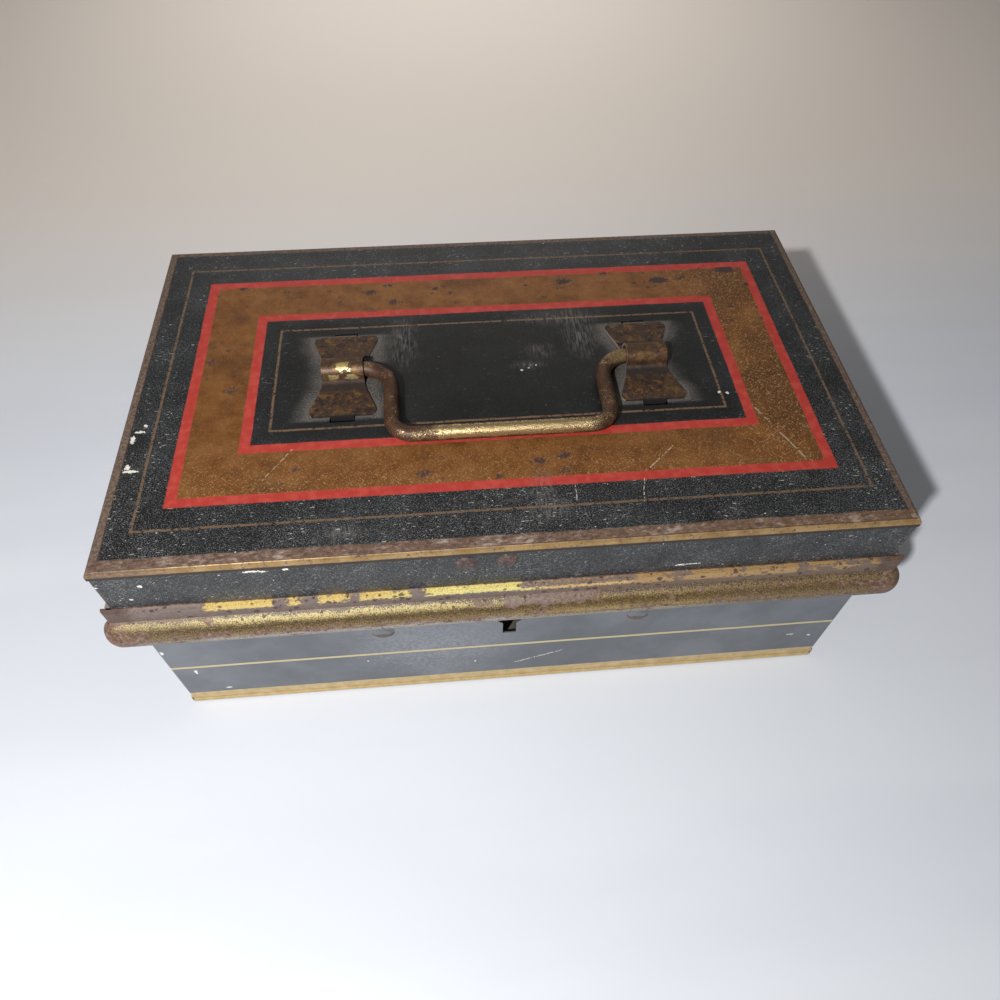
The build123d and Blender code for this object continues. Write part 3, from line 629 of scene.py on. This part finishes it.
# Colours round the bead, as stops of height above its lower edge: a pale lower rim, golden below the
# middle as a painted reflection of the floor, dark above the middle as painted shade, a bright painted
# highlight under the groove, and darker at the top as the groove's painted shadow.
BEAD_LEFT_PAINTED_LIGHT = stops(
    (0.0, 150, 142, 136), (6.8, 158, 149, 141), (7.4, 136, 123, 110),
    (8.5, 122, 103, 72), (9.35, 114, 92, 54), (10.15, 98, 78, 44),
    (11.0, 72, 56, 27), (11.7, 80, 63, 30), (12.2, 114, 97, 56),
    (12.7, 164, 148, 98), (13.5, 178, 164, 118), (13.7, 92, 79, 68),
    (BEAD_HEIGHT, 94, 80, 74))
BEAD_RIGHT_PAINTED_LIGHT = stops(
    (0.0, 138, 128, 112), (6.8, 146, 138, 120), (7.2, 112, 94, 66),
    (7.8, 148, 129, 90), (8.5, 152, 130, 86), (9.35, 130, 108, 62),
    (10.15, 104, 83, 45), (11.0, 80, 62, 30), (11.7, 82, 64, 32),
    (12.2, 110, 90, 52), (12.8, 142, 124, 86), (13.3, 120, 105, 84),
    (13.7, 90, 76, 64), (BEAD_HEIGHT, 86, 72, 62))
MAUVE_TONES = stops(
    (0.30, 80, 66, 62), (0.48, 110, 95, 90), (0.62, 132, 116, 108),
    (0.75, 166, 150, 136))
# Shade of the band, as stops of height above its lower edge in units of 8 mm.
BAND_SHADE = stops(
    (0.0, 84, 70, 62), (0.2, 94, 80, 73), (0.4, 104, 91, 86),
    (0.7, 118, 105, 100), (0.95, 148, 136, 129))
# Bright patches of gold left on the band: middle and half length along the front.
BAND_PATCHES = ((-87.6, 10.6), (-70.4, 1.9), (-58.0, 4.7), (-41.8, 8.0), (-13.8, 15.4))


def paint_bead_with_painted_light(paint, run, front, grain, seed):
    """Painted highlight under the groove, painted shade above the middle, golden below as a painted
    reflection of the floor, pale lower rim.
    """
    drift = paint.noise(4, stretch=(2, 2, 0.8), detail=4.0, grain=0.6, seed=seed + 2)
    up = paint.add(
        paint.z, -MOULD_LOW[2],
        paint.times(paint.add(grain, -0.5), 3.2), paint.times(paint.add(drift, -0.5), 1.8))
    place = paint.times(up, 1 / BEAD_HEIGHT)
    left, right = [
        paint.tones(place, *[(height / BEAD_HEIGHT, colour) for height, colour in table])
        for table in (BEAD_LEFT_PAINTED_LIGHT, BEAD_RIGHT_PAINTED_LIGHT)]
    if front:
        bead = paint.mix(paint.ease(paint.add(run, paint.times(drift, 8)), -2, 14), left, right)
        dull = paint.either(
            paint.times(paint.ease(run, 50, 84), 0.6), paint.times(paint.ease(run, -94, -110), 0.5))
    else:
        bead = right
        dull = 0.3
    bead = paint.mix(dull, bead, BEAD_DULL)
    dust = paint.noise(0.34, stretch=(1.2, 1.2, 1), detail=1.0, seed=seed + 14)
    bead = paint.mix(paint.times(paint.ease(dust, 0.49, 0.37), 0.68), bead, BEAD_PIT)
    bead = paint.mix(paint.times(paint.ease(dust, 0.55, 0.67), 0.25), bead, BEAD_DUST)
    paint.cover(1.0, colour=bead)
    paint.roughness = paint.add(paint.times(dust, 0.3), 0.40)


def rust_bead(paint, run, front, band, seed):
    """Blots near the lower edge, mauve over the top in the middle, brown ends.

    Returns where the rust is, and the mauve."""
    low_edge = MOULD_LOW[2]
    blots = paint.noise(3.6, stretch=(1.9, 1.9, 0.8), detail=5.0, grain=0.66, seed=seed + 3)
    ends = paint.ease(paint.magnitude(run), 114, 129) if front else 0.55
    low = paint.times(
        paint.ease(paint.z, low_edge + 10.5, low_edge + 9.0),
        paint.ease(paint.z, low_edge + 6.6, low_edge + 7.2))
    top = paint.times(
        paint.ease(paint.z, low_edge + 10.8, low_edge + 12.4),
        paint.stripe(run, 6.0, 19.0, 13.0) if front else 0.4)
    level = paint.add(
        blots, paint.times(ends, 0.16), paint.times(low, 0.09), paint.times(top, 0.15), -0.01)
    bead_rust = paint.without(paint.ease(level, 0.58, 0.62), band)
    rust = rust_tones(paint, seed=seed + 5, size=1.2)
    mauve = paint.tones(
        paint.noise(0.8, stretch=(1.6, 1.6, 1), detail=5.0, grain=0.72, seed=seed + 10), *MAUVE_TONES)
    paint.cover(paint.times(bead_rust, 0.9), colour=paint.mix(paint.times(top, 0.85), rust, mauve),
                metallic=0.1, roughness=0.6)
    specks = paint.without(paint.spots(1.7, 0.0, 0.62, seed=seed + 11, ragged=0.5), band)
    paint.cover(paint.times(specks, 0.75), colour=RUST_DARK, metallic=0.1, roughness=0.7)
    return bead_rust, mauve


def front_gilt(paint, run, height, edge, patches):
    """Gold left on the front's band: bright patches, then flakes and crumbs, then a tan film."""
    ragged_run = paint.add(run, edge)
    spans = [paint.stripe(ragged_run, middle, half, 0.5) for middle, half in BAND_PATCHES]
    bright = paint.times(
        paint.either(*spans), paint.stripe(paint.add(height, paint.times(edge, 0.6)), 5.5, 2.1, 0.3),
        paint.ease(patches, 0.36, 0.42))
    flakes = paint.times(
        paint.stripe(run, 21, 20, 3.0),
        paint.stripe(paint.add(height, paint.times(edge, 0.7)), 3.6, 0.85, 0.3))
    crumbs = paint.times(
        paint.stripe(run, 21, 22, 3.0), paint.stripe(height, 6.4, 1.2, 0.6),
        paint.ease(edge, 0.3, 0.9), 0.5)
    film = paint.times(
        paint.ease(ragged_run, 38, 42),
        paint.stripe(paint.add(height, paint.times(edge, 0.4)), 4.9, 2.6, 0.5),
        paint.ease(paint.add(patches, paint.times(paint.ease(run, 90, 122), -0.08)), 0.42, 0.47))
    gilt = paint.either(bright, flakes, crumbs, film)
    tone = paint.mix(
        paint.ease(run, 2, 12),
        paint.mix(paint.ease(run, -50, -20), GILT_WARM, GILT_YELLOW), GILT_ORANGE)
    return gilt, paint.mix(paint.ease(run, 34, 44), tone, GILT_TAN)


def paint_band(paint, run, front, band, grain, mauve, seed):
    """Mauve, darker at its foot and paler towards its top and back, with what is left of the gold."""
    low_edge = MOULD_HIGH[2] - BAND_HEIGHT
    if front:
        back = paint.math("MAXIMUM", paint.add(paint.y, -(MOULD_LOW[1] + 3.5)), 0.0)
        height = paint.add(paint.z, -low_edge, back)
    else:
        height = paint.add(paint.z, -low_edge, paint.ease(paint.facing_z, 0.6, 0.9))
    shade = paint.tones(
        paint.times(paint.add(height, paint.times(paint.add(grain, -0.5), 1.5)), 1 / 8.0), *BAND_SHADE)
    paint.cover(band, colour=paint.mix(0.45, shade, mauve), metallic=0.05, roughness=0.62)
    edge = paint.times(paint.sway(1.1, detail=4.0, grain=0.7, seed=seed + 9), 8.0)
    patches = paint.noise(3.4, stretch=(1.5, 1.5, 0.9), detail=4.0, grain=0.65, seed=seed + 4)
    if front:
        paint.cover(paint.times(paint.ease(run, -6, 30), band, 0.45), colour=BAND_BROWN)
        gilt, tone = front_gilt(paint, run, height, edge, patches)
    else:
        gilt = paint.times(
            paint.ease(paint.add(patches, paint.times(edge, 0.03)), 0.50, 0.54),
            paint.ease(run, MOULD_LOW[1] + 14, MOULD_LOW[1] + 24))
        tone = GILT_TAN
    gilt = paint.times(gilt, band)
    speckled = paint.mix(
        paint.ease(grain, 0.40, 0.60), paint.mix(0.4, tone, BAND_SPECKLE), tone)
    paint.cover(gilt, colour=speckled, metallic=0.2, roughness=0.42)
    holes = paint.times(paint.spots(2.1, 0.15, 1.05, seed=seed + 6, ragged=0.7), band, 0.85)
    paint.cover(holes, colour=RUST_PURPLE, metallic=0.05, roughness=0.7)
    if front:
        tip = paint.times(paint.ease(paint.magnitude(paint.add(run, edge)), 119, 124), band)
        paint.cover(paint.times(tip, 0.8), colour=srgb(84, 66, 60), roughness=0.65)
    return gilt


def moulding_material(name, along, seed):
    """Gold lacquer flaking to rust. along is the coordinate that runs with the moulding."""
    paint = Finish(name, GILT, 0.2, 0.45)
    front = along == "x"
    run = paint.x if front else paint.y
    band_low = MOULD_HIGH[2] - BAND_HEIGHT
    band = paint.ease(paint.z, band_low - 0.5, band_low - 0.1)
    grain = paint.noise(0.42, stretch=(1.3, 1.3, 1), detail=3.0, grain=0.7, seed=seed + 1)
    paint_bead_with_painted_light(paint, run, front, grain, seed)
    bead_rust, mauve = rust_bead(paint, run, front, band, seed)
    gilt = paint_band(paint, run, front, band, grain, mauve, seed)
    # Darker along the groove between the band and the bead: painted shade.
    groove = paint.stripe(paint.z, band_low - 0.55, 0.5, 0.3)
    paint.cover(paint.times(groove, 0.7), colour=srgb(72, 60, 54), metallic=0.1, roughness=0.7)
    paint.raise_by(paint.either(bead_rust, paint.without(band, gilt)), -0.06)
    paint.raise_by(grain, 0.08)
    return paint.done()


# ---- body ----
BODY_LINE_Z = 29.9
BODY_BAND_TOP = 7.85
# Marks on the front wall: centre and half sizes across and up.
BODY_CHIPS = (
    ((-124, 42.5), (0.6, 1.3)), ((-117, 26), (0.6, 1.4)), ((-109, 10.4), (1, 0.5)),
    ((-13.6, 17.5), (0.4, 0.4)), ((110.8, 20.6), (1.8, 0.35)), ((118.9, 18.8), (0.8, 0.5)),
    ((-54, 24.5), (0.4, 0.4)))


def body_band(paint, seed):
    """Plain gold band round the foot of the box, lightly spotted."""
    tone = paint.tones(
        paint.noise(4, detail=5.0, grain=0.65, seed=seed),
        (0.3, srgb(168, 146, 102)), (0.5, srgb(186, 164, 120)), (0.7, srgb(198, 178, 136)))
    dirt = paint.noise(1.0, stretch=(2, 2, 1), detail=4.0, grain=0.7, seed=seed + 2)
    dirt = paint.ease(dirt, 0.60, 0.74)
    tone = paint.mix(paint.times(dirt, 0.5), tone, srgb(128, 102, 64))
    spots = paint.spots(11.0, 0.0, 1.1, seed=seed + 1, ragged=0.5, stretch=(1.6, 1.6, 0.6))
    return paint.mix(spots, tone, srgb(84, 62, 44))


def body_wall_material():
    paint = Finish("body_wall_japan", JAPAN, 0.0, 0.35)
    add_japan(paint, BODY_JAPAN, BODY_JAPAN_PALE, 0.12, seed=6)
    on_front = paint.ease(paint.facing_y, -0.5, -0.8)
    wear = paint.noise(1.0, detail=4.0, grain=0.7, seed=81)
    # A pale cloud on the front, broken up by a dusty grain: partly dust and partly a painted reflection
    # of the lamp.
    cloud = paint.soft_blot(paint.x, paint.z, (-30, 32), (26, 22), seed=3)
    dust = paint.ease(paint.noise(1.4, detail=5.0, grain=0.7, seed=85), 0.36, 0.66)
    paint.cover(paint.times(cloud, dust, on_front, 0.55), colour=srgb(150, 154, 160), roughness=0.6)
    dark = paint.ease(paint.noise(2.2, detail=5.0, grain=0.7, seed=86), 0.62, 0.72)
    paint.cover(paint.times(dark, 0.35), colour=srgb(52, 53, 56), roughness=0.5)
    dashes = paint.scratch(paint.x, paint.z, (2.0, 14.0), (20.0, 21.8), 0.26, seed=87)
    paint.cover(paint.times(dashes, on_front), colour=CHIP, roughness=0.7)
    add_chips(paint, BODY_CHIPS, on_front, 1.1, 0.9, 320)
    wobble = paint.times(paint.sway(20, detail=2.0, seed=82), 0.4)
    height = paint.add(paint.z, wobble)
    # A brown fringe either side of the gold line: painted shade.
    fringe = paint.stripe(height, BODY_LINE_Z, 1.0, 0.3)
    paint.cover(paint.times(fringe, 0.45), colour=srgb(96, 78, 56), roughness=0.5)
    line = paint.times(paint.stripe(height, BODY_LINE_Z, 0.68, 0.2), paint.ease(wear, 0.24, 0.36))
    paint.cover(line, colour=LINE_GOLD, metallic=0.2, roughness=0.45)
    band = paint.ease(height, BODY_BAND_TOP, BODY_BAND_TOP - 0.3)
    paint.cover(band, colour=body_band(paint, 83), metallic=0.2, roughness=0.55)
    bare_inside(paint, WALL_HIGH, seed=58)
    rim = paint.ease(paint.z, WALL_HIGH[2] - 1.2, WALL_HIGH[2] - 0.4)
    paint.cover(rim, colour=rust_tones(paint, seed=84), metallic=0.3, roughness=0.55)
    paint.raise_by(paint.noise(36, detail=1.0, seed=62), 0.5)
    return paint.done()


def body_bottom_material():
    paint = Finish("body_bottom_gilt", GILT, 0.2, 0.55)
    paint.cover(1.0, colour=body_band(paint, 83))
    corner = paint.times(
        paint.ease(paint.magnitude(paint.x), WALL_HIGH[0] - 1.2, WALL_HIGH[0] - 0.2),
        paint.ease(paint.magnitude(paint.y), WALL_HIGH[1] - 1.2, WALL_HIGH[1] - 0.2))
    paint.cover(corner, colour=srgb(58, 62, 56), metallic=0.1, roughness=0.6)
    foot = paint.add(paint.z, paint.times(paint.noise(3, detail=4.0, seed=90), 0.6))
    paint.cover(paint.ease(foot, 0.95, 0.55), colour=srgb(70, 60, 46), metallic=0.1, roughness=0.65)
    under = paint.ease(paint.facing_z, -0.75, -0.95)
    stain = paint.noise(16, detail=6.0, grain=0.65, seed=91)
    under_colour = paint.mix(paint.ease(stain, 0.5, 0.62), srgb(38, 38, 38), rust_tones(paint, seed=92))
    paint.cover(under, colour=under_colour, metallic=0.1, roughness=0.6)
    inside = paint.times(paint.ease(paint.facing_z, 0.5, 0.9), paint.ease(paint.z, 1.2, 0.9))
    paint.cover(inside, **tin_inside(paint, seed=59))
    return paint.done()


# ---- handle, lock and small metal ----
def bail_material():
    """Brass rod: brown and reddish on the arms, rubbed bright along the grip, brightest on the faces
    turned to the key lamp as a painted highlight.
    """
    paint = Finish("bail_worn_brass", BRASS, 1.0, 0.3)
    blotch = paint.noise(5, detail=5.0, grain=0.65, seed=101)
    fine = paint.noise(0.42, detail=3.0, grain=0.65, seed=102)
    grip = paint.ease(paint.y, BAIL_LOW[1] + 8, BAIL_LOW[1] + 4)
    grip = paint.times(grip, paint.ease(paint.magnitude(paint.add(paint.x, -4)), 36, 20))
    top = paint.ease(paint.facing_z, -0.2, 0.5)
    # The grip stays bright brass most on the faces turned to the key lamp: rubbed brass with a painted
    # highlight.
    toward_key_lamp = paint.add(paint.times(paint.facing_z, 0.8), paint.times(paint.facing_y, -0.6))
    rubbed_and_lamp_lit = paint.times(grip, paint.ease(toward_key_lamp, 0.25, 0.8))
    even = paint.opposite(paint.times(rubbed_and_lamp_lit, 0.75))
    brown = paint.add(
        0.5, paint.times(paint.add(blotch, -0.5), even), paint.times(fine, 1.1),
        paint.times(rubbed_and_lamp_lit, -0.27))
    brown = paint.ease(brown, 0.74, 0.96)
    tone = paint.tones(
        fine, (0.3, srgb(40, 28, 21)), (0.5, srgb(68, 47, 35)), (0.7, srgb(98, 72, 53)))
    reddish = paint.ease(paint.noise(3, detail=4.0, seed=103), 0.52, 0.66)
    tone = paint.mix(paint.times(reddish, 0.4), tone, srgb(112, 62, 48))
    paint.cover(brown, colour=tone, metallic=0.4, roughness=0.5)
    elbow = paint.blot(paint.x, paint.y, (42.5, -1.5), (4.5, 3.5), 0.5, 2.0, seed=104)
    paint.cover(paint.times(elbow, top, paint.ease(fine, 0.62, 0.44), 0.6),
                colour=srgb(170, 146, 102), metallic=0.6, roughness=0.45)
    paint.raise_by(paint.times(brown, fine), 0.06)
    return paint.done()


# How far the feet of a clip's arch lie from the axis of the bail, and where the left arch is
# rubbed to brass, across and up.
ARCH_ROOT = 5.2
RUBBED_PATCHES = ((-57.3, 102.6), (-50.9, 102.4), (-54.0, 105.8))


def clip_material():
    """Dark bronze straps with rust mottles and a few rubbed brass patches on the left arch, with painted
    shade at the feet of the arches and on the front ends of the straps.
    """
    paint = Finish("clip_worn_bronze", CLIP_BRONZE, 0.9, 0.38)
    blotch = paint.noise(4.5, detail=5.0, grain=0.62, seed=111)
    fine = paint.noise(0.6, detail=3.0, grain=0.65, seed=112)
    arch = paint.ease(paint.z, CLIP_HIGH[2] - 5.2, CLIP_HIGH[2] - 4.0)
    brown = paint.add(blotch, paint.times(fine, 0.3), paint.times(arch, -0.10))
    brown = paint.ease(brown, 0.50, 0.66)
    tone = paint.tones(
        fine, (0.3, srgb(36, 27, 24)), (0.5, srgb(60, 46, 39)), (0.72, srgb(94, 74, 58)))
    mottle = paint.ease(paint.noise(2.6, detail=4.0, grain=0.6, seed=115), 0.52, 0.62)
    tone = paint.mix(paint.times(mottle, 0.75), tone, srgb(116, 88, 46))
    ruddy = paint.ease(paint.noise(2.0, detail=4.0, grain=0.6, seed=116), 0.56, 0.64)
    tone = paint.mix(paint.times(ruddy, 0.7), tone, srgb(96, 52, 36))
    bruise = paint.ease(paint.noise(3.2, detail=3.0, grain=0.6, seed=117), 0.53, 0.62)
    tone = paint.mix(paint.times(bruise, 0.8), tone, srgb(36, 28, 32))
    paint.cover(paint.either(brown, 0.75), colour=tone, metallic=0.3, roughness=0.5)
    on_left = paint.ease(paint.x, 10, -10)
    for centre in RUBBED_PATCHES:
        patch = paint.blot(paint.x, paint.z, centre, (2.2, 1.2), 1.3, 1.3, seed=int(centre[0]) + 170)
        patch = paint.times(patch, paint.ease(paint.y, 0.5, -1.0), paint.ease(fine, 0.66, 0.5))
        paint.cover(paint.times(patch, arch, on_left, 0.85),
                    colour=BRASS_RUBBED, metallic=0.8, roughness=0.36)
    low = paint.ease(paint.z, CLIP_HIGH[2] - 3.6, CLIP_HIGH[2] - 5.0)
    # Dark where the front of each arch meets its wing: painted shade.
    front_root_shade = paint.times(low, paint.stripe(paint.y, -ARCH_ROOT - 1.0, 2.4, 1.4))
    paint.cover(paint.times(front_root_shade, 0.85), colour=srgb(30, 22, 22), metallic=0.0, roughness=1.0)
    # A black line behind each arch: a painted shadow.
    back_root_shadow = paint.times(low, paint.stripe(paint.y, ARCH_ROOT + 3.4, 0.75, 0.3))
    paint.cover(back_root_shadow, colour=srgb(10, 8, 7), metallic=0.0, roughness=0.8)
    end = paint.ease(paint.magnitude(paint.y), CLIP_HIGH[1] - 0.9, CLIP_HIGH[1] - 0.6)
    cut_edge = paint.without(paint.ease(paint.magnitude(paint.facing_x), 0.3, 0.6), end)
    paint.cover(paint.times(cut_edge, 0.8), colour=srgb(150, 136, 124), metallic=0.3, roughness=0.5)
    # The front end of each strap near black: painted shade of the slot it goes into.
    front_end_shade = paint.times(end, paint.ease(paint.y, 1, -1))
    paint.cover(front_end_shade, colour=srgb(12, 10, 9), metallic=0.0, roughness=0.8)
    back_end = paint.times(end, paint.ease(paint.y, -1, 1))
    paint.cover(back_end, colour=srgb(84, 76, 70), metallic=0.0, roughness=0.8)
    paint.raise_by(fine, 0.08)
    return paint.done()


def rivet_material():
    paint = Finish("rivet_rust", RUST, 0.1, 0.65)
    paint.cover(1.0, colour=paint.tones(
        paint.noise(1.0, detail=5.0, grain=0.7, seed=121),
        (0.3, srgb(46, 38, 38)), (0.5, srgb(78, 62, 60)), (0.7, srgb(118, 98, 92))))
    paint.raise_by(paint.noise(0.8, detail=3.0, seed=122), 0.12)
    return paint.done()


def lock_rivet_material():
    """Painted over with the body, rubbed to rust along the lower edge."""
    paint = Finish("lock_rivet_painted", BODY_JAPAN, 0.0, 0.4)
    paint.cover(paint.noise(3, seed=125), colour=BODY_JAPAN_PALE)
    low, high = box_mm("lock_rivets")
    middle = (low[2] + high[2]) / 2
    worn = paint.ease(
        paint.add(paint.z, paint.times(paint.sway(1.2, detail=4.0, seed=126), 2.0)),
        middle + 0.6, middle - 0.4)
    brown = paint.tones(
        paint.noise(0.8, detail=4.0, grain=0.7, seed=127),
        (0.3, srgb(60, 50, 46)), (0.7, srgb(110, 96, 88)))
    paint.cover(worn, colour=brown, roughness=0.65)
    return paint.done()


def steel_material():
    paint = Finish("dark_steel", STEEL, 0.85, 0.42)
    stain = paint.noise(4, detail=5.0, grain=0.65, seed=210)
    paint.cover(paint.ease(stain, 0.48, 0.62), colour=rust_tones(paint, seed=211, size=1.0),
                metallic=0.25, roughness=0.6)
    paint.raise_by(paint.noise(0.6, detail=2.0, seed=212), 0.03)
    return paint.done()


def tin_part_material():
    paint = Finish("lock_case_tinplate", TIN, 0.85, 0.4)
    paint.colour, paint.metallic, paint.roughness = tin_inside(paint, seed=130).values()
    return paint.done()


def hinge_material():
    paint = Finish("hinge_japan", JAPAN, 0.0, 0.4)
    add_japan(paint, JAPAN, JAPAN_PALE, 0.4, seed=12)
    worn = paint.ease(paint.noise(4, detail=5.0, grain=0.65, seed=141), 0.54, 0.62)
    paint.cover(worn, colour=rust_tones(paint, seed=142), metallic=0.2, roughness=0.6)
    return paint.done()


finishes = {
    "lid_top": lid_top_material(),
    "lid_skirt": skirt_material(),
    "front_moulding": moulding_material("front_moulding_gilt", "x", 150),
    "left_moulding": moulding_material("left_moulding_gilt", "y", 170),
    "right_moulding": moulding_material("right_moulding_gilt", "y", 190),
    "body_wall": body_wall_material(),
    "body_bottom": body_bottom_material(),
    "handle_bail": bail_material(),
    "lock_case": tin_part_material(),
}
clip_finish = clip_material()
rivet_finish = rivet_material()
hinge_finish = hinge_material()
dark_finish = steel_material()
finishes["left_handle_clip"] = finishes["right_handle_clip"] = clip_finish
finishes["staple_rivets"] = rivet_finish
finishes["lock_rivets"] = lock_rivet_material()
for side in ("left", "right"):
    finishes[side + "_body_hinge_leaf"] = hinge_finish
    finishes[side + "_lid_hinge_leaf"] = hinge_finish
    finishes[side + "_hinge_pin"] = dark_finish
for node in ("key_pin", "bolt_studs", "lock_bolt", "bolt_spring", "staple"):
    finishes[node] = dark_finish

for node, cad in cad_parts.items():
    cad.data.materials.clear()
    cad.data.materials.append(finishes[node])


# ---- floor, light, camera, in metres ----
FLOOR_REACH = 3.0
FLOOR_LEVEL = -0.0002
# The camera as solved from the photograph.
CAMERA_PLACE = Vector((-0.018486, -0.202492, 0.293195))
CAMERA_RIGHT = Vector((0.99620, -0.08608, 0.01289))
CAMERA_FORWARD = Vector((0.06170, 0.59392, -0.80216))
CAMERA_LENS = 27.583
# Lamps: name, place, target, size, power, colour. The small key gives the hard shadow.
LAMPS = (
    ("key", (-0.22, -0.39, 0.48), (0.0, 0.0, 0.06), 0.018, 4.7, (1.0, 0.98, 0.95)),
    ("back", (0.0, 0.75, 0.35), (0.0, 0.7501, 0.0), 0.6, 1.6, (1.0, 0.95, 0.90)),
    ("overhead", (0.0, 0.3, 1.4), (0.0, 0.0, 0.0), 1.2, 0.4, (0.97, 0.98, 1.0)))
WORLD_STRENGTH = 0.13


def new_object(name, data):
    obj = bpy.data.objects.new(name, data)
    bpy.context.scene.collection.objects.link(obj)
    return obj


def make_floor():
    mesh = bpy.data.meshes.new("floor")
    corners = [
        (x * FLOOR_REACH, y * FLOOR_REACH, FLOOR_LEVEL)
        for x, y in ((-1, -1), (1, -1), (1, 1), (-1, 1))]
    mesh.from_pydata(corners, [], [(0, 1, 2, 3)])
    floor = new_object("floor", mesh)
    paint = Finish("floor_white", FLOOR, 0.0, 0.55)
    cloud = paint.noise(60, stretch=(4, 1, 1), detail=3.0, seed=5)
    paint.cover(paint.ease(cloud, 0.4, 0.6), colour=FLOOR_PALE)
    # Paler and warmer towards the back: painted light.
    paint.cover(paint.ease(paint.y, 60, 330), colour=FLOOR_FAR_PAINTED_LIGHT)
    mesh.materials.append(paint.done())


def add_lamp(name, place, target, size, power, colour):
    light = bpy.data.lights.new(name, "AREA")
    light.size = size
    light.energy = power
    light.color = colour
    obj = new_object(name, light)
    obj.visible_camera = False
    obj.location = place
    direction = Vector(target) - Vector(place)
    obj.rotation_euler = direction.to_track_quat("-Z", "Y").to_euler()


def make_camera():
    camera = bpy.data.cameras.new("camera")
    camera.sensor_fit = "HORIZONTAL"
    camera.sensor_width = 36.0
    camera.lens = CAMERA_LENS
    camera.clip_start = 0.01
    obj = new_object("camera", camera)
    right = CAMERA_RIGHT.normalized()
    forward = (CAMERA_FORWARD - CAMERA_FORWARD.dot(right) * right).normalized()
    up = right.cross(forward)
    turn = Matrix((right, up, -forward)).transposed().to_4x4()
    obj.matrix_world = Matrix.Translation(CAMERA_PLACE) @ turn
    bpy.context.scene.camera = obj


def make_world():
    world = bpy.data.worlds.new("world")
    world.use_nodes = True
    background = world.node_tree.nodes["Background"]
    background.inputs["Color"].default_value = SKY
    background.inputs["Strength"].default_value = WORLD_STRENGTH
    bpy.context.scene.world = world
    bpy.context.scene.view_settings.view_transform = "Standard"


make_floor()
make_world()
make_camera()
for lamp in LAMPS:
    add_lamp(*lamp)
